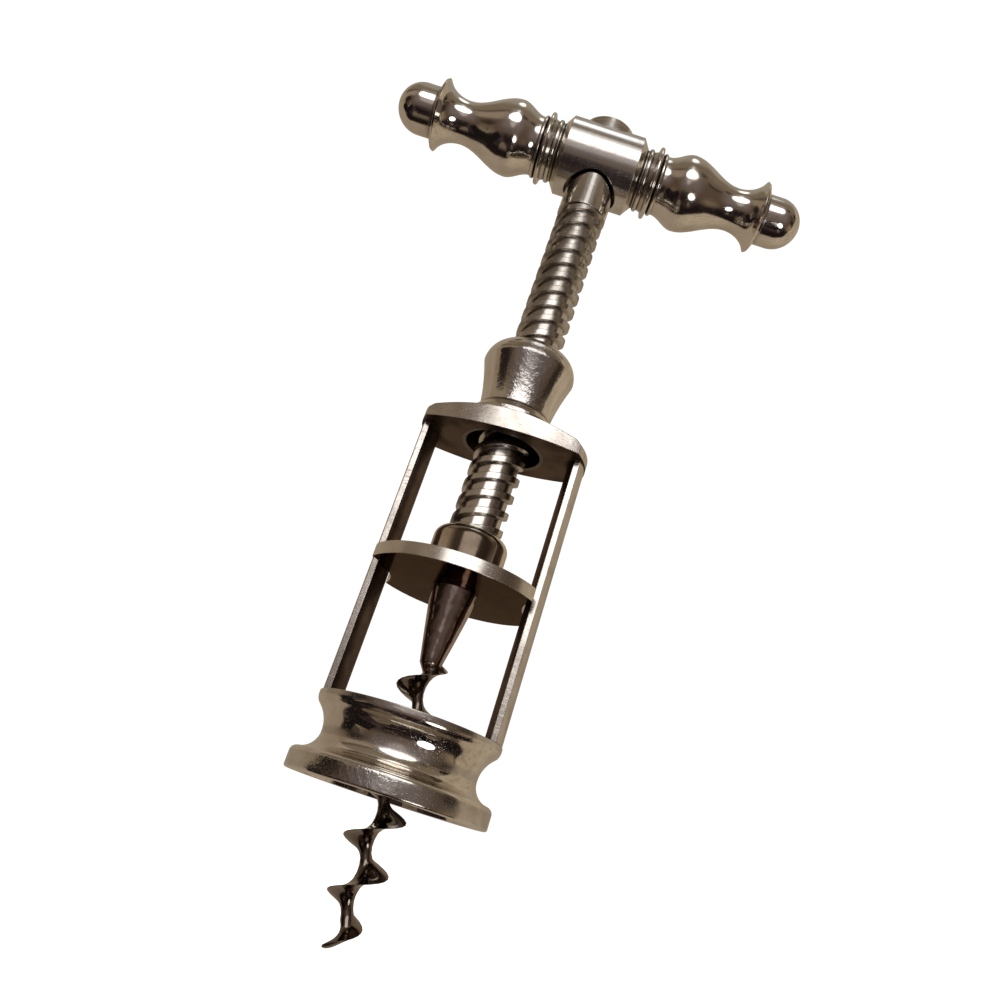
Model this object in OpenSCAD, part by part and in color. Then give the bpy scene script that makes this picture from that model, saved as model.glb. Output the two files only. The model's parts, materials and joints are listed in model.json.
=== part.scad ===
// Open-frame corkscrew. A cage stands on the bottle, a threaded spindle with a turned
// cross handle runs through its collar, and a carriage with the worm hangs from the spindle.
// Z runs up the spindle from the bottom of the rim, X goes through the two posts.

/* [Base] */
// Diameter of the rim that stands on the bottle
rim_d = 37.2; // [36:0.2:42]
// Height of the turned base, up to the sill of the window
base_h = 14.1; // [13:0.1:18]
// Diameter at the narrowest part of the waist
waist_d = 29; // [28:0.1:32]
// Height of the narrowest part of the waist
waist_z = 7.5; // [7:0.1:8]
// Radius of the waist's hollow towards the rim
waist_arc = 3.6; // [3.2:0.1:4.2]
// Radius of the waist's hollow towards the sill
sill_arc = 6; // [5:0.1:6.2]
// Rounding of the rim's upper edge
rim_round = 1.1; // [0.8:0.1:1.4]
// Rounding of the sill's lower edge
sill_round = 2; // [1.4:0.1:2.2]
// Diameter of the bore that the cork is drawn through
bore_d = 25; // [23:0.5:26]
// Diameter of the flared seat for the bottle's mouth
seat_d = 31; // [28:0.5:33]
// Depth of the flared seat
seat_h = 5; // [3:0.5:6]

/* [Cage] */
// Diameter of the cage above the base
cage_d = 34.4; // [34:0.2:37]
// Height of the window from sill to plate
window_h = 56.3; // [54:0.1:64]
// Width of the window between the crowns of the posts
window_w = 27.2; // [26:0.2:28]
// Depth of the posts from front to back
post_depth = 8.7; // [7:0.1:10]
// Width of the narrow flat on the front and back of a post
post_flat = 1.1; // [0.8:0.1:1.6]
// Distance of the inner edge of that flat from the middle of the cage
post_edge_x = 15; // [14.6:0.1:15.6]
// Step of the post's outer crown inside the edge of the sill
post_step = 0.15; // [0.1:0.05:0.4]
// Depth of the top plate at its middle
plate_mid = 20.4; // [19.5:0.1:22]
// Depth of the top plate at its ends
plate_end = 14.5; // [12:0.1:16]
// Thickness of the top plate in the middle
plate_t = 4.3; // [3.6:0.1:6]
// Thickness of the top plate at its ends
plate_edge_t = 2.7; // [2:0.1:3.4]
// Rounding of the plate's upper outer edge
plate_round = 0.8; // [0.3:0.1:1.2]

/* [Collar] */
// Diameter of the collar's spigot in the top plate
spigot_d = 17.2; // [16.6:0.1:18]
// Diameter of the collar's foot on the top plate
foot_ring_d = 19.2; // [18.6:0.1:19.6]
// Height of the collar's foot
foot_ring_h = 1.1; // [0.6:0.1:2]
// Diameter of the collar's throat above its foot
throat_d = 15; // [14:0.1:16]
// Diameter of the collar where it is widest
collar_d = 19.4; // [17:0.1:20]
// Height of the widest part above the top plate
collar_rise = 14.2; // [12:0.2:17]
// Radius of the collar's rounded crown
crown_r = 4.7; // [4.5:0.05:5.2]

/* [Spindle] */
// Outer diameter of the drive thread
thread_d = 10.6; // [9.6:0.1:11]
// Depth of the thread groove
thread_depth = 0.9; // [0.5:0.05:1.2]
// Advance of the two-start thread in one turn
lead = 7.55; // [6:0.05:10]
// Turn of the thread about its own axis
thread_turn = -68; // [-180:1:180]
// Height of the top of the thread above the carriage disc
thread_top = 91.6; // [80:0.1:95]
// Diameter of the plain neck under the handle
neck_d = 11; // [10.4:0.1:12]
// Side of the square tang that drives the handle
tang = 6.4; // [5:0.1:7]
// Diameter of the stud for the top nut
stud_d = 5; // [4:0.1:6]
// Diameter of the swivelling foot inside the cap
foot_d = 11.5; // [11:0.1:11.6]
// Thickness of the swivelling foot
foot_t = 2; // [1.4:0.1:2.4]

/* [Handle] */
// Length of the handle over its rounded ends
handle_l = 97.4; // [86:0.2:110]
// Height of the handle's axis above the carriage disc
handle_rise = 104.9; // [100:0.1:112]
// Turn of the handle about the spindle at rest
handle_turn = 8.5; // [-45:0.5:45]
// Diameter of the hub
hub_d = 17.8; // [16:0.1:19]
// Length of the hub's plain barrel
hub_l = 16.8; // [15:0.1:18]
// Diameter of the thin ring beside the hub
ring_d = 16.4; // [15:0.1:18]
// Diameter of the grip's swelling
swell_d = 17.4; // [14:0.1:19]
// Distance of the swelling from the middle
swell_x = 20.7; // [20:0.1:23]
// Diameter of the grip's waist
grip_d = 9.8; // [9:0.1:12.5]
// Distance of the grip's waist from the middle
grip_x = 32.5; // [30:0.1:34]
// Diameter of the arm's flared lip
lip_d = 16.4; // [14:0.1:18]
// Distance of the flared lip from the end of the handle
lip_inset = 10.3; // [9.6:0.1:11]
// Diameter of the rounded ends
ball_d = 11.7; // [11:0.1:13.4]
// Diameter of the round socket that the neck enters
socket_d = 12.2; // [11.8:0.1:13]
// Depth of that socket measured from the handle's axis
socket_floor = 4.4; // [3:0.1:5.5]
// Height of the top nut's seat above the handle's axis
nut_seat = 8; // [7.4:0.1:8.4]
// Diameter of the domed top nut
nut_d = 12.4; // [10:0.1:12.6]
// Height of the straight side of the top nut
nut_side = 1.2; // [0.8:0.1:2]
// Height of the whole top nut
nut_h = 4.1; // [3:0.1:5]

/* [Carriage] */
// Height of the disc's underside above the rim at rest
disc_z = 39.3; // [38:0.1:44]
// Diameter of the guide disc
disc_d = 34.8; // [32:0.1:34.8]
// Thickness of the guide disc
disc_t = 2.5; // [2:0.1:3.5]
// Radius of the hollows in the disc that face the posts
notch_r = 17; // [14:0.5:24]
// Diameter of the swivel cap
cap_d = 14.8; // [14.4:0.1:15]
// Height of the straight side of the swivel cap
cap_side = 7; // [6.6:0.1:7.4]
// Radius of the cap's rounded shoulder
cap_round = 2.4; // [2:0.1:3]
// Inner diameter of the swivel cap
cap_bore = 12.1; // [12:0.1:12.4]
// Height of the disc's boss inside the cap
boss_h = 2; // [1.5:0.1:2.4]
// Width across the flats of the worm's nut
clamp_af = 8; // [7:0.1:9]
// Thickness of the worm's nut
clamp_h = 2.2; // [1.8:0.1:2.6]
// Thickness of the thrust washer
washer_t = 0.8; // [0.5:0.1:1]

/* [Worm] */
// Outer diameter of the worm
worm_d = 9.9; // [8:0.1:11]
// Rise of the worm in one turn
worm_pitch = 9.05; // [8:0.05:11]
// Length of the worm and its shank below the disc
worm_l = 64; // [60:0.2:72]
// Length of the tapered shank
shank_l = 17; // [14:0.2:20]
// Diameter of the shank under the disc
shank_d = 9.3; // [8:0.1:11]
// Half thickness of the blade
blade_half = 1; // [0.7:0.05:1.4]
// Distance that the blade reaches past the axis
blade_back = 0.6; // [0.3:0.05:1]
// Depth of the first full crest below the disc
crest_depth = 14.9; // [13:0.1:17]
// Length over which the blade grows out of the shank
run_in = 10.7; // [8:0.1:13]
// Inward sweep of the blade's edge at the tip
tip_sweep = 2.2; // [1:0.1:3]
// Diameter of the tenon through the disc
tenon_d = 5; // [4:0.1:6]

/* [Fits] */
// Gap between the disc and the posts
slide_gap = 0.35; // [0.3:0.01:0.6]
// Gap between the thread's crest and the collar
thread_gap = 0.08; // [0.05:0.01:0.1]
// Gap between the cap and the roof over it
roof_gap = 0.4; // [0.3:0.05:0.6]
// Gap of fixed round fits
seat_gap = 0.03; // [0.01:0.01:0.05]
// End play of the swivelling foot
end_play = 0.1; // [0.05:0.01:0.2]

/* [Hidden] */
$fn = 96;

steel = [0.72, 0.70, 0.66];
dark_steel = [0.45, 0.43, 0.40];
bronze = [0.72, 0.55, 0.32];

rim_r = rim_d / 2;
cage_r = cage_d / 2;
waist_r = waist_d / 2;
rim_turn = acos((waist_r + waist_arc - rim_r + rim_round) / (waist_arc + rim_round));
rim_band = waist_z - (waist_arc + rim_round) * sin(rim_turn);
sill_turn = acos((waist_r + sill_arc - cage_r + sill_round) / (sill_arc + sill_round));
sill_band = waist_z + (sill_arc + sill_round) * sin(sill_turn);
foot_edge = 0.4;
plate_z = base_h + window_h;
plate_top = plate_z + plate_t;
post_crown = window_w / 2;
post_r = arc_radius(post_depth / 2, post_edge_x - post_crown);
post_out = cage_r - post_step;
post_out_r = arc_radius(post_depth / 2, post_out - post_edge_x - post_flat);
plate_end_x = sqrt(cage_r * cage_r - plate_end * plate_end / 4);
plate_r = arc_radius(plate_end_x, (plate_mid - plate_end) / 2);

disc_top = disc_z + disc_t;
cap_r = cap_d / 2;
cap_mid = cap_r - cap_round;
roof_round = cap_round + roof_gap;
mouth_r = cap_r + roof_gap;
clamp_z = disc_top + boss_h;
clamp_top = clamp_z + clamp_h;
tenon_over = 0.3;
foot_z = clamp_top + tenon_over + roof_gap;
foot_top = foot_z + foot_t;
shoulder_z = foot_top + washer_t + end_play;
journal_r = thread_d / 2 + 0.05;
cap_hole_r = journal_r + thread_gap;
cap_top = disc_top + cap_side + sqrt(cap_round * cap_round - pow(cap_hole_r - cap_mid, 2));
thread_z = cap_top + 0.2;
thread_end = disc_top + thread_top;

handle_z = disc_top + handle_rise;
shoulder_top = handle_z - socket_floor;
hub_r = hub_d / 2;
ring_step = 4.65;
boss_top = handle_z + nut_seat;

collar_bore_r = thread_d / 2 + thread_gap;
throat_rise = 2.4;
throat_z = plate_top + foot_ring_h + throat_rise;
collar_wall = 1.3;
widest_z = plate_top + collar_rise;
crown_mid = collar_d / 2 - crown_r;
// Height where the roof's curve starts, set so that the collar keeps a wall over the cap
roof_z = throat_z - sqrt(roof_round * roof_round - pow(throat_d / 2 - collar_wall - cap_mid, 2));

worm_r = worm_d / 2;
worm_tip = disc_z - worm_l;
shank_end = disc_z - shank_l;
blade_start = shank_end + run_in * 0.73;
blade_step = 20;
blade_n = floor((blade_start - worm_tip) / worm_pitch * blade_step);
blade_pts = 14;

// Radius of the arc that rises by a given height over half a chord
function arc_radius(half, rise) = (half * half + rise * rise) / (2 * rise);

// Points along an arc in a turned profile
function arc(x, z, r, a, b, n = 12) = [for (i = [0 : n]) let (t = a + (b - a) * i / n)
    [x + r * cos(t), z + r * sin(t)]];

// Points of a smooth S-curve between two stations of a turned profile
function ease(p, q, n = 10) = [for (i = [0 : n]) let (t = i / n)
    [p[0] + (q[0] - p[0]) * t, p[1] + (q[1] - p[1]) * (1 - cos(180 * t)) / 2]];

// Value that runs from one end to the other as t goes from 0 to 1
function blend(a, b, t) = a + (b - a) * min(1, max(0, t));

module tube(r, z, h) {
    translate([0, 0, z]) cylinder(r = r, h = h);
}

// Plan of one post: crowned inside and outside, with a narrow flat at the front and back
module post_plan() {
    intersection() {
        translate([post_out - post_out_r, 0]) circle(r = post_out_r);
        translate([post_crown + post_r, 0]) circle(r = post_r);
        translate([0, -post_depth / 2]) square([cage_r + 1, post_depth]);
    }
}

// Plan of the top plate: the cage's outer curve between two bowed faces
module plate_plan() {
    intersection() {
        circle(r = cage_r);
        translate([0, plate_r - plate_mid / 2]) circle(r = plate_r, $fn = 180);
        translate([0, plate_mid / 2 - plate_r]) circle(r = plate_r, $fn = 180);
    }
}

// Half section of the turned base: rim, hollow waist and sill, each running into the next
module base_profile() {
    polygon(concat([[0, 0]],
        arc(rim_r - foot_edge, foot_edge, foot_edge, -90, 0, 4),
        arc(rim_r - rim_round, rim_band, rim_round, 0, rim_turn, 8),
        arc(waist_r + waist_arc, waist_z, waist_arc, 174 + rim_turn, 186, 12),
        arc(waist_r + sill_arc, waist_z, sill_arc, 180, 184 - sill_turn, 12),
        arc(cage_r - sill_round, sill_band, sill_round, -sill_turn, 0, 8),
        [[cage_r, base_h], [0, base_h]]));
}

module frame() {
    color(steel) difference() {
        union() {
            rotate_extrude() base_profile();
            for (s = [0, 180]) rotate(s) translate([0, 0, base_h - 1])
                linear_extrude(window_h + 2) post_plan();
            intersection() {
                rotate_extrude() polygon([[0, plate_z], [cage_r, plate_z],
                    [cage_r, plate_z + plate_edge_t - plate_round],
                    [cage_r - plate_round, plate_z + plate_edge_t],
                    [plate_mid / 2, plate_top], [0, plate_top]]);
                translate([0, 0, plate_z]) linear_extrude(plate_t + 1) plate_plan();
            }
        }
        tube(bore_d / 2, -1, base_h + 2);
        translate([0, 0, -0.01]) cylinder(d1 = seat_d, d2 = bore_d, h = seat_h);
        tube(spigot_d / 2 + seat_gap, plate_z - 1, plate_t + 2);
    }
}

module thread_collar() {
    flank = [for (i = [0 : 12]) [throat_d / 2 + (collar_d - throat_d) / 2 * pow(i / 12, 1.5),
        throat_z + (widest_z - throat_z) * i / 12]];
    crown_end = acos((collar_bore_r - crown_mid) / crown_r);
    roof_end = acos((collar_bore_r - cap_mid) / roof_round);
    color(steel) rotate_extrude() polygon(concat(
        [[mouth_r, plate_z], [spigot_d / 2, plate_z], [spigot_d / 2, plate_top], [foot_ring_d / 2, plate_top],
            [foot_ring_d / 2, plate_top + foot_ring_h]],
        flank,
        arc(crown_mid, widest_z, crown_r, 4, crown_end),
        arc(cap_mid, roof_z, roof_round, roof_end, 0)));
}

// Cross-section of the two-start thread
module thread_plan() {
    crest_half = 32;
    crest = thread_d / 2;
    root = crest - thread_depth;
    polygon([for (s = [0, 180], a = [-32, -16, 0, 16, 32, 44, 68, 90, 112, 136])
        let (r = a < crest_half + 5 ? crest : root) [r * cos(a + s), r * sin(a + s)]]);
}

module drive_shaft() {
    turns = (thread_end - thread_z) / lead;
    lap = 0.2;
    color(dark_steel) {
        tube(foot_d / 2, foot_z, foot_t);
        tube(journal_r, foot_z, thread_z + lap - foot_z);
        translate([0, 0, thread_z]) rotate(thread_turn)
            linear_extrude(thread_end - thread_z, twist = -360 * turns, slices = ceil(turns * 16), $fn = 16)
                thread_plan();
        tube(neck_d / 2, thread_end - lap, shoulder_top + lap - thread_end);
        translate([0, 0, shoulder_top - lap]) rotate(handle_turn)
            translate([-tang / 2, -tang / 2]) cube([tang, tang, boss_top - shoulder_top + lap - 0.5]);
        tube(stud_d / 2, shoulder_top - lap, boss_top + nut_side + 0.6 + lap - shoulder_top);
    }
}

// Turned profile of one arm, as distance along the handle and radius
module arm_profile() {
    grip_r = grip_d / 2;
    lip_r = lip_d / 2;
    half = hub_l / 2;
    ball_x = handle_l / 2 - ball_d / 2;
    lip_x = handle_l / 2 - lip_inset;
    groove = hub_r - 2.3;
    ring_x = half + ring_step;
    polygon(concat(
        [[-half, 0], [-half, hub_r], [half, hub_r], [half + 1.6, groove]],
        arc(half + 2.5, groove, 0.55, 180, 0, 6),
        [[ring_x - 0.7, groove + 0.3]],
        arc(ring_x, ring_d / 2 - 0.5, 0.5, 180, 0, 8),
        [[ring_x + 0.7, groove]],
        arc(ring_x + 1.3, groove, 0.5, 180, 0, 6),
        ease([ring_x + 1.9, groove], [swell_x, swell_d / 2], 8),
        ease([swell_x, swell_d / 2], [grip_x, grip_r]),
        [for (i = [1 : 8]) [grip_x + (lip_x - grip_x) * i / 8,
            grip_r + (lip_r - grip_r) * (1 - sqrt(1 - pow(0.94 * i / 8, 2))) / 0.659]],
        [[lip_x + 0.5, lip_r - 0.3], [lip_x + 1.4, ball_d / 2]],
        arc(ball_x, 0, ball_d / 2, 90, 0, 16)));
}

// One arm laid along X, with half of the hub
module arm() {
    rotate([0, 90, 0]) rotate_extrude() rotate(90) mirror([0, 1]) arm_profile();
}

module handle_bar() {
    color(steel) translate([0, 0, handle_z]) rotate(handle_turn) difference() {
        union() {
            arm();
            rotate(180) arm();
            cylinder(d = nut_d + 0.4, h = nut_seat);
        }
        translate([0, 0, nut_seat]) cylinder(d = nut_d + 0.8, h = hub_r);
        translate([0, 0, -hub_r - 1]) cylinder(d = socket_d, h = hub_r + 1 - socket_floor);
        translate([-tang / 2 - seat_gap, -tang / 2 - seat_gap, -hub_r])
            cube([tang + 2 * seat_gap, tang + 2 * seat_gap, 3 * hub_r]);
    }
}

module dome_nut() {
    rise = nut_h - nut_side;
    dome_r = arc_radius(nut_d / 2, rise);
    edge = asin((dome_r - rise) / dome_r);
    color(steel) translate([0, 0, boss_top]) difference() {
        rotate_extrude() polygon(concat([[0, 0], [nut_d / 2, 0]],
            arc(0, nut_h - dome_r, dome_r, edge, 90)));
        translate([0, 0, -1]) cylinder(d = stud_d + 2 * seat_gap, h = nut_side + 1.8);
    }
}

module guide_disc() {
    color(steel) difference() {
        union() {
            tube(disc_d / 2, disc_z, disc_t);
            tube(cap_bore / 2 - seat_gap, disc_z, disc_t + boss_h);
        }
        for (s = [-1, 1]) translate([s * (post_crown - slide_gap + notch_r), 0, disc_z - 1])
            cylinder(r = notch_r, h = disc_t + 2);
        tube(tenon_d / 2 + seat_gap, disc_z - 1, disc_t + boss_h + 2);
    }
}

module swivel_cap() {
    end = acos((cap_hole_r - cap_mid) / cap_round);
    color(steel) rotate_extrude() polygon(concat(
        [[cap_bore / 2, disc_top], [cap_r, disc_top]],
        arc(cap_mid, disc_top + cap_side, cap_round, 0, end),
        [[cap_hole_r, shoulder_z], [cap_bore / 2, shoulder_z]]));
}

module thrust_washer() {
    color(bronze) difference() {
        tube(foot_d / 2, foot_top, washer_t);
        tube(journal_r + seat_gap, foot_top - 1, washer_t + 2);
    }
}

// One cross-section of the blade: a thin drop that points away from the axis
function blade_section(z) =
    let (turn = 9.4 + 360 * (z - disc_z + crest_depth) / worm_pitch,
        rise = (z - worm_tip) / worm_pitch,
        grown = blend(worm_r * 0.4, worm_r, (blade_start - z) / run_in),
        out = grown - tip_sweep * pow(max(0, 1 - rise / 1.15), 0.9),
        back = blend(-blade_back, tip_sweep * 0.55, 1 - rise / 0.5),
        end = sqrt(1 - pow(max(0, 1 - (rise + 0.015) / 0.09), 2)),
        mid = (out + back) / 2,
        half = (out - back) / 2 * end,
        thick = blend(blade_half, 0.8, 1 - rise / 0.5) * end,
        lean = blend(0.7, 0.1, 1 - rise / 0.5))
    [for (i = [0 : blade_pts - 1]) let (t = 360 * i / blade_pts,
        u = mid + half * cos(t),
        v = thick * sin(t) * (1 - lean * cos(t)))
        [u * cos(turn) - v * sin(turn), u * sin(turn) + v * cos(turn), z]];

// The blade winds up from the tip and grows into the shank
module blade() {
    rings = [for (k = [0 : blade_n]) blade_section(worm_tip + (blade_start - worm_tip) * k / blade_n)];
    points = [for (r = rings, p = r) p];
    m = blade_pts;
    polyhedron(points, concat(
        [[for (i = [0 : m - 1]) i]],
        [[for (i = [0 : m - 1]) blade_n * m + m - 1 - i]],
        [for (k = [0 : blade_n - 1], i = [0 : m - 1]) let (a = k * m + i, b = k * m + (i + 1) % m)
            each [[a, a + m, b], [b, a + m, b + m]]]));
}

module worm() {
    color(dark_steel) {
        rotate_extrude() polygon(concat([[0, disc_z]],
            [for (i = [0 : 12]) let (t = 0.86 * i / 12)
                [shank_d / 2 * (1 - 0.66 * pow(t, 1.1)), disc_z - shank_l * t]],
            [[0.45, shank_end], [0, shank_end]]));
        blade();
        tube(tenon_d / 2, disc_z, clamp_top + tenon_over - disc_z);
    }
}

module worm_nut() {
    color(dark_steel) difference() {
        translate([0, 0, clamp_z]) cylinder(d = clamp_af / cos(30), h = clamp_h, $fn = 6);
        tube(tenon_d / 2 + seat_gap, clamp_z - 1, clamp_h + 2);
    }
}

frame();
thread_collar();
drive_shaft();
handle_bar();
dome_nut();
guide_disc();
swivel_cap();
thrust_washer();
worm();
worm_nut();
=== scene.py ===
import json
import math

import bmesh
import bpy
from mathutils import Matrix, Vector

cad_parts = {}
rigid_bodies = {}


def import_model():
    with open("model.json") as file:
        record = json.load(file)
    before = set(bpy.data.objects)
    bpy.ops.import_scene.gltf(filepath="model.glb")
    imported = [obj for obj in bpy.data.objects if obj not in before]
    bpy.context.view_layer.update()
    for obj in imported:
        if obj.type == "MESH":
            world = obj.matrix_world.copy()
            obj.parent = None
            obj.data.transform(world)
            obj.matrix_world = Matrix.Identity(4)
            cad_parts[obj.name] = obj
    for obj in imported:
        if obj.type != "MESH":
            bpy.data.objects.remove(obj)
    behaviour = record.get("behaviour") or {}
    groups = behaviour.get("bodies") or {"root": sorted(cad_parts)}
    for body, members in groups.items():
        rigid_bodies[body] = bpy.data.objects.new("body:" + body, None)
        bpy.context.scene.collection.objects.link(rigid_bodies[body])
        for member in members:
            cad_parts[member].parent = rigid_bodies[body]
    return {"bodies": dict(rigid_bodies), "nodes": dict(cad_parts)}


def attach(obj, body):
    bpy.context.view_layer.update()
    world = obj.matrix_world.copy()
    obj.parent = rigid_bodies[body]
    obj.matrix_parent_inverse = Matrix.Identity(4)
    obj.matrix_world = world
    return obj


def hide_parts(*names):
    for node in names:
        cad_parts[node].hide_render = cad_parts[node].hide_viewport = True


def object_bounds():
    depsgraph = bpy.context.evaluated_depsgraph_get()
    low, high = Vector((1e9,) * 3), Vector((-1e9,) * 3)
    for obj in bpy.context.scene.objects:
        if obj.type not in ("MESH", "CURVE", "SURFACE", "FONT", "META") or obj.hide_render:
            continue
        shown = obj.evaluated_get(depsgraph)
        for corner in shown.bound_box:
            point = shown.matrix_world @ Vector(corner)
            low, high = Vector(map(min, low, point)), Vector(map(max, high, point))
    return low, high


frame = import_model()
nodes = frame["nodes"]
kept = list(nodes.values()) + list(frame["bodies"].values())
for extra in list(bpy.data.objects):
    if extra not in kept:
        bpy.data.objects.remove(extra)
cad_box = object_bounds()
scene = bpy.context.scene

MICRON = 0.000001
UPWARD = Vector((0.0, 0.0, 1.0))
REARWARD = Vector((0.0, 1.0, 0.0))

# Camera at the photograph's place. It looks up at the corkscrew and leans to one side.
EYE = Vector((0.02828, -0.16422, -0.00418))
YAW = math.radians(-8.85)
PITCH = math.radians(21.04)
ROLL = math.radians(18.31)
FOCAL_PX = 900.0
IMAGE_PX = 1000.0
SENSOR_MM = 36.0
CLIP_START = 0.005
CLIP_END = 20.0

forward = Vector((math.sin(YAW) * math.cos(PITCH), math.cos(YAW) * math.cos(PITCH), math.sin(PITCH)))
level = Vector((math.cos(YAW), -math.sin(YAW), 0.0))
drop = forward.cross(level)
right = level * math.cos(ROLL) - drop * math.sin(ROLL)
up = -(level * math.sin(ROLL) + drop * math.cos(ROLL))
camera_data = bpy.data.cameras.new("camera")
camera_data.sensor_width = SENSOR_MM
camera_data.lens = FOCAL_PX * SENSOR_MM / IMAGE_PX
camera_data.clip_start = CLIP_START
camera_data.clip_end = CLIP_END
camera = bpy.data.objects.new("camera", camera_data)
scene.collection.objects.link(camera)
axes = Matrix((right, up, -forward)).transposed()
camera.matrix_world = Matrix.Translation(EYE) @ axes.to_4x4()
scene.camera = camera
scene.view_settings.view_transform = "Standard"

# Helpers for node trees. A fade is a pair of values: where something starts and where it is full.
# Sockets of the mix node: first and second value, and the result
MIX_SOCKETS = {"RGBA": (6, 7, 2), "FLOAT": (2, 3, 0)}


def add(tree, kind, values=None, **settings):
    """Adds a node, sets its plain settings, then links or fills its inputs."""
    made = tree.nodes.new(kind)
    for key, value in settings.items():
        setattr(made, key, value)
    for key, value in (values or {}).items():
        socket = made.inputs[key]
        if isinstance(value, bpy.types.NodeSocket):
            tree.links.new(value, socket)
        else:
            socket.default_value = value
    return made


def math_node(tree, operation, first, second=0.0, third=0.0, clamp=False):
    values = {0: first, 1: second, 2: third}
    return add(tree, "ShaderNodeMath", values, operation=operation, use_clamp=clamp).outputs[0]


def times(tree, first, *others):
    """Product of two or more values."""
    product = first
    for other in others:
        product = math_node(tree, "MULTIPLY", product, other)
    return product


def ramp(tree, value, fade):
    """Runs from 0 to 1 as the value goes through a fade."""
    values = {"Value": value, "From Min": fade[0], "From Max": fade[1]}
    return add(tree, "ShaderNodeMapRange", values, interpolation_type="SMOOTHSTEP").outputs["Result"]


def mix(tree, factor, before, after, kind="RGBA"):
    """Goes from one colour or number to another as the factor goes from 0 to 1."""
    first, second, result = MIX_SOCKETS[kind]
    made = add(tree, "ShaderNodeMix", {0: factor, first: before, second: after}, data_type=kind)
    return made.outputs[result]


def noise(tree, vector, scale, detail=3.0, roughness=0.55):
    values = {"Vector": vector, "Scale": scale, "Detail": detail, "Roughness": roughness}
    return add(tree, "ShaderNodeTexNoise", values).outputs["Fac"]


def colour(red, green, blue):
    return (red, green, blue, 1.0)


# Worn metal. Lengths are in metres and the scales of noises are per metre.
WHITE = colour(1.0, 1.0, 1.0)
# Dark colour for pits, and for the painted shade in corners
SOOT_AND_SHADE = colour(0.05, 0.04, 0.03)
HANDLE_TURN = math.radians(8.5)
RAYS = 6
EDGE_ROUND = 0.00022
CORNER_REACH = 0.0016
MARK_WANDER = 60.0
# Two crossing sets of hairlines: turn of the set, scale along each axis, and the fade from noise to line
HAIRLINES = (((0.3, 0.9, 0.4), (90.0, 5200.0, 5200.0), (0.64, 0.72)),
             ((1.1, 0.2, 2.0), (6100.0, 120.0, 6100.0), (0.65, 0.73)))
PIT_SCALE = 900.0
PIT_SIZE = (0.16, 0.06)
PIT_PATCH_SCALE = 260.0
PIT_PATCHES = (0.55, 0.7)
PIT_GRIME = 0.8
CLOUD_SCALE = 140.0
FILM_CLOUDS = (0.42, 0.68)
# Fades of the painted corner shade: its patchy cloud and the ambient occlusion of corners
CORNER_SHADE_CLOUDS = (0.15, 0.50)
CORNER_SHADE_FADE = (0.88, 0.46)
HAIR_ROUGHNESS = 0.12
FILM_ROUGHNESS = 0.06
CORNER_SHADE_ROUGHNESS = 0.35
WAVE_SCALE = 210.0
CRINKLE_SCALE = 1100.0


def axis_distance(tree, spot):
    """Distance from the spindle's axis."""
    flat = add(tree, "ShaderNodeCombineXYZ", {"X": spot[0], "Y": spot[1]}).outputs[0]
    return add(tree, "ShaderNodeVectorMath", {0: flat}, operation="LENGTH").outputs["Value"]


def turning_marks(tree, spot, turned, lines):
    """Distance along the axis that a piece was turned on, and the fine lines that the tool left round it."""
    if turned == "z":
        along = math_node(tree, "ADD", spot[2], axis_distance(tree, spot))
        across = spot[0]
    else:
        along = math_node(tree, "ADD", times(tree, spot[0], math.cos(HANDLE_TURN)),
                          times(tree, spot[1], math.sin(HANDLE_TURN)))
        across = spot[2]
    drawn = {"X": times(tree, along, lines), "Y": times(tree, spot[1], MARK_WANDER),
             "Z": times(tree, across, MARK_WANDER)}
    marks = noise(tree, add(tree, "ShaderNodeCombineXYZ", drawn).outputs[0], 1.0, detail=4.0, roughness=0.7)
    return along, marks


def hairlines(tree, place):
    """Hairline scratches: noises drawn out in two directions."""
    sets = []
    for turn, scale, fade in HAIRLINES:
        drawn = add(tree, "ShaderNodeMapping", {"Vector": place, "Rotation": turn, "Scale": scale})
        sets.append(ramp(tree, noise(tree, drawn.outputs["Vector"], 1.0, detail=2.0), fade))
    return math_node(tree, "MAXIMUM", *sets)


def pit_marks(tree, place):
    """Small pits that lie together in patches."""
    dots = add(tree, "ShaderNodeTexVoronoi", {"Vector": place, "Scale": PIT_SCALE, "Randomness": 1.0})
    patches = ramp(tree, noise(tree, place, PIT_PATCH_SCALE, detail=2.0), PIT_PATCHES)
    return times(tree, ramp(tree, dots.outputs["Distance"], PIT_SIZE), patches)


def painted_corner_shade(tree, cloud, reach):
    """Painted shade that darkens corners, thinner in places."""
    corner = add(tree, "ShaderNodeAmbientOcclusion", {"Distance": reach}, samples=RAYS, only_local=True)
    return times(tree, ramp(tree, corner.outputs["AO"], CORNER_SHADE_FADE), ramp(tree, cloud, CORNER_SHADE_CLOUDS))


def marked_roughness(tree, marks, rough, spread):
    """Roughness that the turning marks raise and lower."""
    return math_node(tree, "MULTIPLY_ADD", marks, spread, rough - spread * 0.5)


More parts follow.
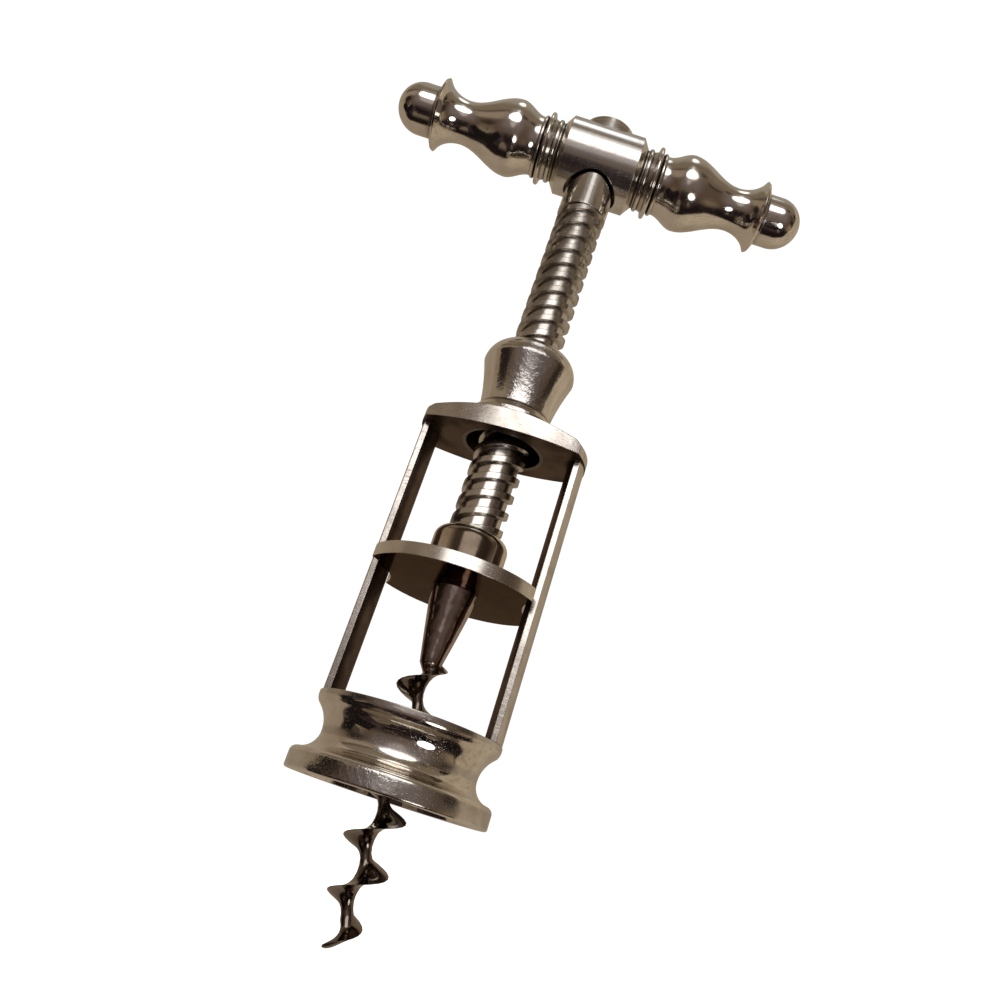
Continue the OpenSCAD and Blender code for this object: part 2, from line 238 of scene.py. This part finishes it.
def metal(name, bright, dull, rough, spread, scratch, peel, lines=1800.0, line_bump=MICRON,
          dents=8.0 * MICRON, turned="z", zones=(), corners=CORNER_REACH):
    """Worn metal with turning marks, hairlines, crinkled polish, dents, pits, and painted shade in its
    corners.

    Scratch, peel, line_bump and dents are depths. Lines is how close the turning marks lie, turned is the
    axis that the piece was turned on, and corners is how far the painted corner shade reaches out of a
    corner.
    The zones are parts of the surface with a finish of their own, some with a painted shade in their colour.
    """
    material = bpy.data.materials.new(name)
    material.use_nodes = True
    tree = material.node_tree
    tree.nodes.clear()
    coords = add(tree, "ShaderNodeTexCoord").outputs
    place = coords["Object"]
    spot = add(tree, "ShaderNodeSeparateXYZ", {"Vector": place}).outputs
    facing = add(tree, "ShaderNodeSeparateXYZ", {"Vector": coords["Normal"]}).outputs
    along, marks = turning_marks(tree, spot, turned, lines)
    hair = hairlines(tree, place)
    pits = pit_marks(tree, place)
    cloud = noise(tree, place, CLOUD_SCALE, detail=6.0, roughness=0.6)
    film = ramp(tree, cloud, FILM_CLOUDS)
    # Painted shade in corners, made patchy by the cloud noise
    corner_shade = painted_corner_shade(tree, cloud, corners)

    base = mix(tree, film, bright, dull)
    worn = marked_roughness(tree, marks, rough, spread)
    edge = None
    for zone in zones:
        mask = zone["mask"](tree, spot, facing, along)
        base = mix(tree, mask, base, mix(tree, film, zone["bright"], zone["dull"]))
        worn = mix(tree, mask, worn, marked_roughness(tree, marks, zone["rough"], zone["spread"]), "FLOAT")
        if "edge" in zone:
            edge = mix(tree, mask, WHITE, zone["edge"])
        if "peel" in zone:
            peel = mix(tree, mask, peel, zone["peel"], "FLOAT")
        if "dents" in zone:
            dents = mix(tree, mask, dents, zone["dents"], "FLOAT")
    # Pits and the painted corner shade darken the colour towards soot
    base = mix(tree, math_node(tree, "MAXIMUM", times(tree, pits, PIT_GRIME), corner_shade), base, SOOT_AND_SHADE)
    for layer, weight in ((hair, HAIR_ROUGHNESS), (film, FILM_ROUGHNESS), (corner_shade, CORNER_SHADE_ROUGHNESS)):
        worn = math_node(tree, "MULTIPLY_ADD", layer, weight, worn, clamp=True)

    waves = noise(tree, place, WAVE_SCALE, detail=2.0)
    crinkle = noise(tree, place, CRINKLE_SCALE, detail=3.0, roughness=0.62)
    cuts = math_node(tree, "MAXIMUM", hair, pits)
    normal = add(tree, "ShaderNodeBevel", {"Radius": EDGE_ROUND}, samples=RAYS).outputs["Normal"]
    reliefs = ((waves, dents, False), (crinkle, peel, False), (marks, line_bump, False),
               (cuts, scratch, True))
    for height, depth, inward in reliefs:
        values = {"Strength": 1.0, "Distance": depth, "Height": height, "Normal": normal}
        normal = add(tree, "ShaderNodeBump", values, invert=inward).outputs["Normal"]

    shader = add(tree, "ShaderNodeBsdfPrincipled",
                 {"Base Color": base, "Metallic": 1.0, "Roughness": worn, "Normal": normal})
    if edge is not None:
        tree.links.new(edge, shader.inputs["Specular Tint"])
    add(tree, "ShaderNodeOutputMaterial", {"Surface": shader.outputs[0]})
    return material


# Masks for the zones. Fades of heights and radii are in metres, and those of facing are parts of a normal.
FACES_UP = (0.80, 0.95)
FACES_DOWN = (-0.5, -0.9)
FACES_DOWN_FLAT = (-0.6, -0.9)
FACES_INWARD = (-0.3, -0.6)
STANDS_UPRIGHT = (0.22, 0.08)
RIM_TOP = (0.0046, 0.0040)
SILL_LEVEL = (0.0120, 0.0128)
WINDOW_FOOT = (0.0138, 0.0146)
WINDOW_HEAD = (0.0708, 0.0702)
PLATE_LEVEL = (0.060, 0.064)
COLLAR_FOOT = (0.0712, 0.0708)
MOUTH_WALL = (0.0082, 0.0080)
MOUTH_TOP = (0.0785, 0.0780)
SHANK_FOOT = (0.0225, 0.0232)
NECK_FOOT = (0.1308, 0.1312)
HUB_END = (0.0088, 0.0084)


def milled_shaded_faces(tree, spot, facing, along):
    """The plate's underside and the posts' inner faces, which were left as they came from the mill and get a
    painted shade.
    """
    under = times(tree, ramp(tree, facing[2], FACES_DOWN_FLAT), ramp(tree, spot[2], PLATE_LEVEL))
    inward = times(tree, facing[0], math_node(tree, "SIGN", spot[0]))
    window = times(tree, ramp(tree, spot[2], WINDOW_FOOT), ramp(tree, spot[2], WINDOW_HEAD))
    return math_node(tree, "MAXIMUM", under, times(tree, ramp(tree, inward, FACES_INWARD), window))


def upright_faces(tree, spot, facing, along):
    """Rim, sill, post flats and plate edge, which stand upright and are rubbed by use."""
    return ramp(tree, math_node(tree, "ABSOLUTE", facing[2]), STANDS_UPRIGHT)


def flat_tops(tree, spot, facing, along):
    """The tops of the sill, the plate and the guide disc."""
    return times(tree, ramp(tree, facing[2], FACES_UP), ramp(tree, spot[2], SILL_LEVEL))


# Mask for the guide disc's underside, where a painted shade goes
def disc_underside(tree, spot, facing, along):
    return ramp(tree, facing[2], FACES_DOWN)


def collar_mouth(tree, spot, facing, along):
    """The collar's lower end and the inside of its mouth, which get a painted shade."""
    inside = times(tree, ramp(tree, axis_distance(tree, spot), MOUTH_WALL), ramp(tree, spot[2], MOUTH_TOP))
    return math_node(tree, "MAXIMUM", inside, ramp(tree, spot[2], COLLAR_FOOT))


def front(lean, fade):
    """Mask for the part of a turned surface that faces the front, or some degrees to the right of it."""
    to_right = math.sin(math.radians(lean))
    to_front = -math.cos(math.radians(lean))

    def mask(tree, spot, facing, along):
        ahead = math_node(tree, "MULTIPLY_ADD", facing[0], to_right, times(tree, facing[1], to_front))
        return ramp(tree, ahead, fade)

    return mask


collar_front = front(13.0, (0.84, 0.94))
cap_front = front(8.0, (0.80, 0.93))
base_front = front(-9.0, (0.86, 0.97))


def rim_front(tree, spot, facing, along):
    return times(tree, base_front(tree, spot, facing, along), ramp(tree, spot[2], RIM_TOP))


def neck(tree, spot, facing, along):
    return ramp(tree, spot[2], NECK_FOOT)


def shank(tree, spot, facing, along):
    return ramp(tree, spot[2], SHANK_FOOT)


def hub(tree, spot, facing, along):
    return ramp(tree, math_node(tree, "ABSOLUTE", along), HUB_END)


def zone(mask, bright, dull, rough, spread, **more):
    """A part of a surface with a finish of its own. More may give it an edge colour, a peel or dents."""
    return dict(mask=mask, bright=bright, dull=dull, rough=rough, spread=spread, **more)


# Painted shade: the plate's underside and the posts' inner faces get dark colours, with a rougher mill finish
milled_and_shaded = zone(milled_shaded_faces, colour(0.17, 0.13, 0.11), colour(0.09, 0.07, 0.06), rough=0.32, spread=0.2,
              edge=colour(0.55, 0.50, 0.46), peel=6.0 * MICRON)
rubbed = zone(upright_faces, colour(0.66, 0.62, 0.58), colour(0.50, 0.455, 0.41), rough=0.19, spread=0.18,
              peel=14.0 * MICRON)
blunted = zone(flat_tops, colour(0.46, 0.42, 0.37), colour(0.36, 0.32, 0.27), rough=0.36, spread=0.2)
# Painted shade: the guide disc's underside gets a dark colour under its polished finish
lapped_and_shaded = zone(disc_underside, colour(0.13, 0.10, 0.085), colour(0.10, 0.08, 0.068), rough=0.07, spread=0.06,
              edge=colour(0.47, 0.42, 0.39))
# Painted shade: the inside of the collar's mouth and its lower end get a dark colour
shaded_mouth = zone(collar_mouth, colour(0.13, 0.10, 0.08), colour(0.07, 0.055, 0.045), rough=0.3, spread=0.2)
barrel = zone(hub, colour(0.71, 0.68, 0.65), colour(0.59, 0.55, 0.51), rough=0.17, spread=0.12)
# Crinkled polish on the parts of the collar and rim that face the front, with a painted shade: they get a
# darker colour than the nickel round them
wrinkled_shaded_front = zone(collar_front, colour(0.61, 0.58, 0.56), colour(0.50, 0.465, 0.44), rough=0.07, spread=0.06,
                peel=110.0 * MICRON)
wrinkled_shaded_rim = dict(wrinkled_shaded_front, mask=rim_front)
# Painted shade: the swivel cap's front gets a dark colour that keeps the lamp's reflection off it
shaded_cap_front = zone(cap_front, colour(0.145, 0.112, 0.084), colour(0.105, 0.08, 0.06), rough=0.12, spread=0.08)
turned_neck = zone(neck, colour(0.80, 0.76, 0.72), colour(0.66, 0.62, 0.57), rough=0.075, spread=0.05)
ground = zone(shank, colour(0.43, 0.35, 0.315), colour(0.30, 0.24, 0.21), rough=0.08, spread=0.06,
              dents=350.0 * MICRON)

NICKEL = colour(0.77, 0.725, 0.665)
NICKEL_DULL = colour(0.66, 0.605, 0.53)
polished = metal("polished_nickel", NICKEL, NICKEL_DULL, rough=0.05, spread=0.04, scratch=6.0 * MICRON,
                 peel=3.0 * MICRON, zones=(rubbed, milled_and_shaded, wrinkled_shaded_rim, blunted))
collar_coat = metal("collar_nickel", NICKEL, NICKEL_DULL, rough=0.07, spread=0.06, scratch=3.0 * MICRON,
                    peel=40.0 * MICRON, zones=(wrinkled_shaded_front, shaded_mouth))
small_coat = metal("small_nickel", NICKEL, NICKEL_DULL, rough=0.08, spread=0.06, scratch=2.0 * MICRON,
                   peel=1.5 * MICRON)
cap_coat = metal("cap_nickel", colour(0.74, 0.66, 0.56), colour(0.60, 0.52, 0.42), rough=0.10, spread=0.08,
                 scratch=3.0 * MICRON, peel=2.0 * MICRON, dents=10.0 * MICRON, zones=(shaded_cap_front,))
polished_bar = metal("polished_nickel_bar", NICKEL, NICKEL_DULL, rough=0.085, spread=0.04,
                     scratch=1.2 * MICRON, peel=0.5 * MICRON, line_bump=0.3 * MICRON, dents=6.0 * MICRON,
                     turned="x", zones=(barrel,))
brushed = metal("brushed_nickel", NICKEL, NICKEL_DULL, rough=0.19, spread=0.16, scratch=4.0 * MICRON,
                peel=2.0 * MICRON, lines=4200.0, line_bump=3.0 * MICRON, zones=(lapped_and_shaded, blunted))
satin = metal("satin_steel", colour(0.66, 0.62, 0.575), colour(0.50, 0.46, 0.415), rough=0.17, spread=0.12,
              scratch=3.0 * MICRON, peel=2.0 * MICRON, lines=5200.0, line_bump=2.0 * MICRON,
              zones=(turned_neck,), corners=0.00045)
dark = metal("dark_steel", colour(0.215, 0.178, 0.150), colour(0.13, 0.105, 0.088), rough=0.09, spread=0.07,
             scratch=2.0 * MICRON, peel=MICRON, lines=2200.0, dents=10.0 * MICRON, zones=(ground,))
bronze = metal("bronze", colour(0.66, 0.45, 0.24), colour(0.45, 0.28, 0.14), rough=0.3, spread=0.2,
               scratch=4.0 * MICRON, peel=MICRON, lines=4000.0, line_bump=4.0 * MICRON)

finish = {"frame": polished, "thread_collar": collar_coat, "drive_shaft": satin, "handle_bar": polished_bar,
          "dome_nut": small_coat, "guide_disc": brushed, "swivel_cap": cap_coat, "thrust_washer": bronze,
          "worm": dark, "worm_nut": dark}

# CAD nodes, shaded smooth up to the bend that counts as a real edge
WOUND_NODES = ("worm", "drive_shaft")
WOUND_BEND = math.radians(62.0)
TURNED_BEND = math.radians(34.0)
JOIN_DISTANCE = 2.0 * MICRON


def smoothing(bend):
    """Modifier tree that joins the faces of a CAD mesh and keeps only the real edges sharp."""
    tree = bpy.data.node_groups.new("smoothing", "GeometryNodeTree")
    for way in ("INPUT", "OUTPUT"):
        tree.interface.new_socket("Geometry", in_out=way, socket_type="NodeSocketGeometry")
    source = tree.nodes.new("NodeGroupInput").outputs[0]
    joined = add(tree, "GeometryNodeMergeByDistance", {"Geometry": source, "Distance": JOIN_DISTANCE})
    angle = add(tree, "GeometryNodeInputMeshEdgeAngle").outputs["Unsigned Angle"]
    sharp = add(tree, "FunctionNodeCompare", {0: angle, 1: bend}, data_type="FLOAT", operation="GREATER_THAN")
    values = {"Mesh": joined.outputs[0], "Remove Custom": True, "Edge Sharpness": sharp.outputs[0]}
    shaded = add(tree, "GeometryNodeSetMeshNormal", values, mode="SHARPNESS")
    add(tree, "NodeGroupOutput", {0: shaded.outputs[0]})
    return tree


smooth_wound = smoothing(WOUND_BEND)
smooth_turned = smoothing(TURNED_BEND)
for name, node in nodes.items():
    node.data.materials.clear()
    node.data.materials.append(finish[name])
    modifier = node.modifiers.new("smoothing", "NODES")
    modifier.node_group = smooth_wound if name in WOUND_NODES else smooth_turned

# Drive shaft with a finer thread than its CAD solid, and a longer neck
FOOT = 0.0467
FOOT_TOP = 0.0487
THREAD_FOOT = 0.05136
THREAD_TOP = 0.1311
SHOULDER = 0.1423
TANG_TOP = 0.1542
STUD_TOP = 0.1565
LAP = 0.0002
FOOT_R = 0.00575
JOURNAL_R = 0.00535
CREST_R = 0.0053
ROOT_R = 0.0044
CORE_R = 0.0038
NECK_R = 0.0055
STUD_R = 0.0025
TANG_WIDE = 0.0064
LEAD = 0.00755
THREAD_TURN = math.radians(-68.0)
# Angles of the thread's section, in degrees
HALF_TURN = 180.0
THREAD_STARTS = (0.0, HALF_TURN)
CREST_HALF = 32.0
FLANK = 12.0
CREST_STEPS = 12
ROOT_STEPS = 16
THREAD_RINGS = 330
ROUND_STEPS = 72
SHAFT_BEND = math.radians(28.0)


def ring(form, points, height, turn=0.0):
    """Vertices at one height from points of angle and radius."""
    return [form.verts.new((radius * math.cos(angle + turn), radius * math.sin(angle + turn), height))
            for angle, radius in points]


def arc(first, last, steps, radius):
    """Points of a round stretch between two angles in degrees."""
    return [(math.radians(first + (last - first) * k / steps), radius) for k in range(steps + 1)]


def skin(form, rings):
    """Faces between rings of vertices. A ring of one vertex closes an end."""
    for low_ring, high_ring in zip(rings, rings[1:]):
        low_count = len(low_ring)
        high_count = len(high_ring)
        for k in range(max(low_count, high_count)):
            corners = (low_ring[k % low_count], low_ring[(k + 1) % low_count],
                       high_ring[(k + 1) % high_count], high_ring[k % high_count])
            form.faces.new(list(dict.fromkeys(corners)))


def lathe(form, profile):
    """Turns a profile of radius and height about the axis. It starts and ends on the axis."""
    rings = []
    for radius, height in profile:
        count = ROUND_STEPS if radius > 0.0 else 1
        rings.append(ring(form, [(math.tau * k / ROUND_STEPS, radius) for k in range(count)], height))
    skin(form, rings)


def two_start_thread(form):
    """Winds the thread's section up the shaft and closes both ends."""
    section = []
    for start in THREAD_STARTS:
        section += arc(start - CREST_HALF, start + CREST_HALF, CREST_STEPS, CREST_R)
        root_first = start + CREST_HALF + FLANK
        root_last = start + HALF_TURN - CREST_HALF - FLANK
        section += arc(root_first, root_last, ROOT_STEPS, ROOT_R)
    rings = []
    for k in range(THREAD_RINGS + 1):
        climb = (THREAD_TOP - THREAD_FOOT) * k / THREAD_RINGS
        rings.append(ring(form, section, THREAD_FOOT + climb, THREAD_TURN + math.tau * climb / LEAD))
    form.faces.new(rings[0][::-1])
    form.faces.new(rings[-1])
    skin(form, rings)


def square_tang(form):
    """The square end in the handle's hub."""
    foot = SHOULDER - LAP
    corners = bmesh.ops.create_cube(form, size=1.0)["verts"]
    bmesh.ops.scale(form, vec=(TANG_WIDE, TANG_WIDE, TANG_TOP - foot), verts=corners)
    bmesh.ops.rotate(form, cent=(0.0, 0.0, 0.0), matrix=Matrix.Rotation(HANDLE_TURN, 3, "Z"), verts=corners)
    bmesh.ops.translate(form, vec=(0.0, 0.0, (TANG_TOP + foot) / 2.0), verts=corners)


shaft = bmesh.new()
lathe(shaft, [(0.0, FOOT), (FOOT_R, FOOT), (FOOT_R, FOOT_TOP), (JOURNAL_R, FOOT_TOP),
              (JOURNAL_R, THREAD_FOOT + LAP), (CORE_R, THREAD_FOOT + LAP), (CORE_R, THREAD_TOP - LAP),
              (NECK_R, THREAD_TOP - LAP), (NECK_R, SHOULDER), (STUD_R, SHOULDER), (STUD_R, STUD_TOP),
              (0.0, STUD_TOP)])
two_start_thread(shaft)
square_tang(shaft)
bmesh.ops.recalc_face_normals(shaft, faces=shaft.faces)
for face in shaft.faces:
    face.smooth = True
for rib in shaft.edges:
    rib.smooth = rib.calc_face_angle() < SHAFT_BEND
shaft_mesh = bpy.data.meshes.new("drive_shaft_fine")
shaft.to_mesh(shaft_mesh)
shaft.free()
shaft_mesh.materials.append(satin)
shaft_piece = bpy.data.objects.new("drive_shaft_fine", shaft_mesh)
scene.collection.objects.link(shaft_piece)
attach(shaft_piece, "spindle")
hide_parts("drive_shaft")

# Pale floor just under the worm's tip. Reflections show the room in its place.
FLOOR_GAP = 0.0004
FLOOR_REACH = 3.0
FLOOR_PAINT = {"Base Color": colour(0.9, 0.9, 0.9), "Roughness": 0.8,
               "Emission Color": WHITE, "Emission Strength": 1.2}

floor_z = cad_box[0].z - FLOOR_GAP
floor_corners = [(x * FLOOR_REACH, y * FLOOR_REACH, floor_z) for x, y in ((-1, -1), (1, -1), (1, 1), (-1, 1))]
floor_mesh = bpy.data.meshes.new("floor")
floor_mesh.from_pydata(floor_corners, [], [(0, 1, 2, 3)])
floor = bpy.data.objects.new("floor", floor_mesh)
scene.collection.objects.link(floor)
floor.visible_glossy = False
floor.visible_shadow = False
floor_paint = bpy.data.materials.new("floor_paint")
floor_paint.use_nodes = True
paint_sockets = floor_paint.node_tree.nodes["Principled BSDF"].inputs
for socket_name, setting in FLOOR_PAINT.items():
    paint_sockets[socket_name].default_value = setting
floor_mesh.materials.append(floor_paint)

# Room for the reflections: dark towards the camera, with a pale table behind and below
CENTRE = Vector((0.0, 0.0, 0.065))
BACKDROP_STRENGTH = 1.05
STAIN_SCALE = 3.2
BLOCK_SCALE = 2.4
BLOCK_RANDOMNESS = 0.8
GRAIN_SCALE = 7.0
PANEL_BLUR = 0.03
PANEL_AHEAD = (0.0, 0.1)
BAND_STRENGTH = 0.9
HORIZON_DROP = -0.24
HORIZON_WAVES = 0.12

# Fades in the room. They run along the share that a direction has of an axis, or along a noise.
STAINS = (0.35, 0.7)
BROWN_BLOCKS = (0.60, 0.80)
BLACK_BLOCKS = (0.70, 0.85)
GOLD_BLOCKS = (0.80, 0.70)
GOLD_ASIDE = (0.58, 0.16)
GOLD_FOOT = (-0.62, -0.34)
GOLD_HEAD = (0.40, 0.20)
UPPER_LEFT = (-0.08, -0.34)
UPPER_FOOT = (0.12, 0.28)
UPPER_HEAD = (0.60, 0.48)
BAND_NEAR = (0.58, 0.44)
BAND_FAR = (0.06, 0.18)
BAND_FOOT = (-0.12, 0.0)
BAND_HEAD = (0.32, 0.20)
GLOW_NEAR = (0.58, 0.90)
GLOW_FOOT = (-0.68, -0.16)
GLOW_HEAD = (0.62, 0.46)
HIGH_WALL = (0.50, 0.72)
CEILING = (0.84, 0.97)
BENEATH = (-0.30, -0.65)
SHADE_BACK = (-0.30, -0.05)
TABLE_RIGHT = (-0.5, 0.4)
TABLE_BACK = (0.70, 1.0)
TABLE_GRAIN = (0.45, 0.75)
TABLE_TOP = (0.70, 0.90)
HORIZON = (0.04, 0.13)

# Dark panels, by bearing, lift, half width and half height in degrees
DARK_PANELS = ((-74.0, -33.0, 19.0, 8.0), (84.0, -20.0, 4.0, 13.0))
# Light spots, by bearing, lift and the angles of their clear core and faint edge in degrees
RIM_SPOT = (-6.0, 1.0, 3.0, 17.0)
LAMP_HALO = (-3.0, 24.0, 12.0, 34.0)
NECK_STREAK = (-2.0, 41.0, 3.0, 9.0)
CEILING_SPOT = (0.0, 78.0, 6.0, 12.0)

world = bpy.data.worlds.new("studio")
scene.world = world
world.use_nodes = True
studio = world.node_tree
studio.nodes.clear()
ray = add(studio, "ShaderNodeTexCoord").outputs["Generated"]


def bearing(turn, lift):
    """World direction by degrees to the right of the camera and degrees above the rim's plane."""
    angle = math.atan2(EYE.y, EYE.x) + math.radians(turn)
    lift = math.radians(lift)
    return Vector((math.cos(angle) * math.cos(lift), math.sin(angle) * math.cos(lift), math.sin(lift)))


def share(axis):
    """How far a direction goes along an axis, from -1 to 1."""
    return add(studio, "ShaderNodeVectorMath", {0: ray, 1: axis}, operation="DOT_PRODUCT").outputs["Value"]


def fades(*pairs):
    """Product of several values, each run through its fade."""
    return times(studio, *[ramp(studio, value, fade) for value, fade in pairs])


def spot_light(turn, lift, core, edge):
    """1 within the core's angle of a bearing and 0 past the edge's."""
    fade = (math.cos(math.radians(edge)), math.cos(math.radians(core)))
    return ramp(studio, share(bearing(turn, lift)), fade)


def panel(turn, lift, half_width, half_height):
    """1 inside a rectangle round a bearing."""
    ahead = bearing(turn, lift)
    across = UPWARD.cross(ahead).normalized()
    inside = ramp(studio, share(ahead), PANEL_AHEAD)
    for axis, half in ((across, half_width), (ahead.cross(across), half_height)):
        limit = math.sin(math.radians(half))
        off = math_node(studio, "ABSOLUTE", share(axis))
        inside = times(studio, inside, ramp(studio, off, (limit + PANEL_BLUR, limit)))
    return inside


def layered(ground_colour, layers):
    """Lays colours over each other, each by its mask."""
    result = ground_colour
    for mask, tone in layers:
        result = mix(studio, mask, result, tone)
    return result


near = share(bearing(0.0, 0.0))
rise = share(UPWARD)
back = share(REARWARD)
aside = share(up.cross(EYE - CENTRE).normalized())
stains = noise(studio, ray, STAIN_SCALE, detail=4.0)
blocks = add(studio, "ShaderNodeTexVoronoi",
             {"Vector": ray, "Scale": BLOCK_SCALE, "Randomness": BLOCK_RANDOMNESS}, distance="CHEBYCHEV")
block = add(studio, "ShaderNodeSeparateColor", {0: blocks.outputs["Color"]}).outputs

wall = mix(studio, ramp(studio, stains, STAINS), colour(0.014, 0.009, 0.0095), colour(0.060, 0.040, 0.034))
gold = mix(studio, ramp(studio, near, GOLD_ASIDE), colour(0.105, 0.072, 0.050), colour(0.30, 0.225, 0.150))
gold_part = fades((rise, GOLD_FOOT), (rise, GOLD_HEAD), (block[1], GOLD_BLOCKS))
upper_part = fades((rise, UPPER_FOOT), (rise, UPPER_HEAD), (aside, UPPER_LEFT))
band = fades((near, BAND_NEAR), (near, BAND_FAR), (rise, BAND_FOOT), (rise, BAND_HEAD))
glow = fades((near, GLOW_NEAR), (rise, GLOW_FOOT), (rise, GLOW_HEAD))
beneath = ramp(studio, rise, BENEATH)
panels = [(panel(*place), colour(0.010, 0.008, 0.008)) for place in DARK_PANELS]
room = layered(wall, [
    (ramp(studio, block[0], BROWN_BLOCKS), colour(0.16, 0.12, 0.085)),
    (ramp(studio, block[1], BLACK_BLOCKS), colour(0.008, 0.006, 0.006)),
    (gold_part, gold),
    (upper_part, colour(0.30, 0.235, 0.170)),
    (times(studio, band, BAND_STRENGTH), colour(0.014, 0.010, 0.009)),
    *panels,
    (glow, colour(0.19, 0.152, 0.140)),
    (spot_light(*RIM_SPOT), colour(0.56, 0.50, 0.485)),
    (ramp(studio, rise, HIGH_WALL), colour(0.21, 0.165, 0.115)),
    (ramp(studio, rise, CEILING), colour(0.34, 0.30, 0.245)),
    (spot_light(*LAMP_HALO), colour(0.36, 0.33, 0.31)),
    (spot_light(*NECK_STREAK), colour(0.95, 0.92, 0.88)),
    (times(studio, beneath, ramp(studio, back, SHADE_BACK)), colour(0.012, 0.008, 0.008)),
])
table = layered(colour(0.36, 0.29, 0.215), [
    (ramp(studio, aside, TABLE_RIGHT), colour(0.48, 0.395, 0.29)),
    (ramp(studio, back, TABLE_BACK), colour(0.34, 0.275, 0.20)),
    (ramp(studio, noise(studio, ray, GRAIN_SCALE), TABLE_GRAIN), colour(0.31, 0.25, 0.185)),
    (ramp(studio, rise, TABLE_TOP), colour(0.36, 0.32, 0.26)),
])
waved = math_node(studio, "MULTIPLY_ADD", stains, HORIZON_WAVES, back)
horizon = math_node(studio, "MULTIPLY_ADD", beneath, HORIZON_DROP, waved)
sky = layered(room, [
    (ramp(studio, horizon, HORIZON), table),
    (spot_light(*CEILING_SPOT), colour(1.80, 1.86, 1.92)),
])

# The camera itself sees plain white behind the corkscrew.
mirrored = add(studio, "ShaderNodeBackground", {"Color": sky, "Strength": 1.0}).outputs[0]
backdrop = add(studio, "ShaderNodeBackground", {"Color": WHITE, "Strength": BACKDROP_STRENGTH}).outputs[0]
seen = add(studio, "ShaderNodeLightPath").outputs["Is Camera Ray"]
both = add(studio, "ShaderNodeMixShader", {0: seen, 1: mirrored, 2: backdrop})
add(studio, "ShaderNodeOutputWorld", {"Surface": both.outputs[0]})


def soft_box(name, place, distance, width, height, glare, tint):
    """Oval area light. Glare is how bright it looks in the metal, whatever its size and distance."""
    data = bpy.data.lights.new(name, "AREA")
    data.shape = "ELLIPSE"
    data.size = width
    data.size_y = height
    oval_area = math.pi * width * height / 4.0
    data.energy = glare * math.pi * oval_area
    data.color = tint
    lamp = bpy.data.objects.new(name, data)
    scene.collection.objects.link(lamp)
    lamp.location = CENTRE + place * distance
    lamp.rotation_mode = "QUATERNION"
    lamp.rotation_quaternion = (-place).to_track_quat("-Z", "Y")
    lamp.visible_camera = False


soft_box("box_over", bearing(-3.0, 24.5), distance=1.3, width=1.24, height=0.70, glare=1.9,
         tint=(1.0, 0.98, 0.96))
soft_box("box_side", bearing(32.0, -35.0), distance=1.2, width=0.48, height=0.38, glare=3.5,
         tint=(1.0, 0.97, 0.94))
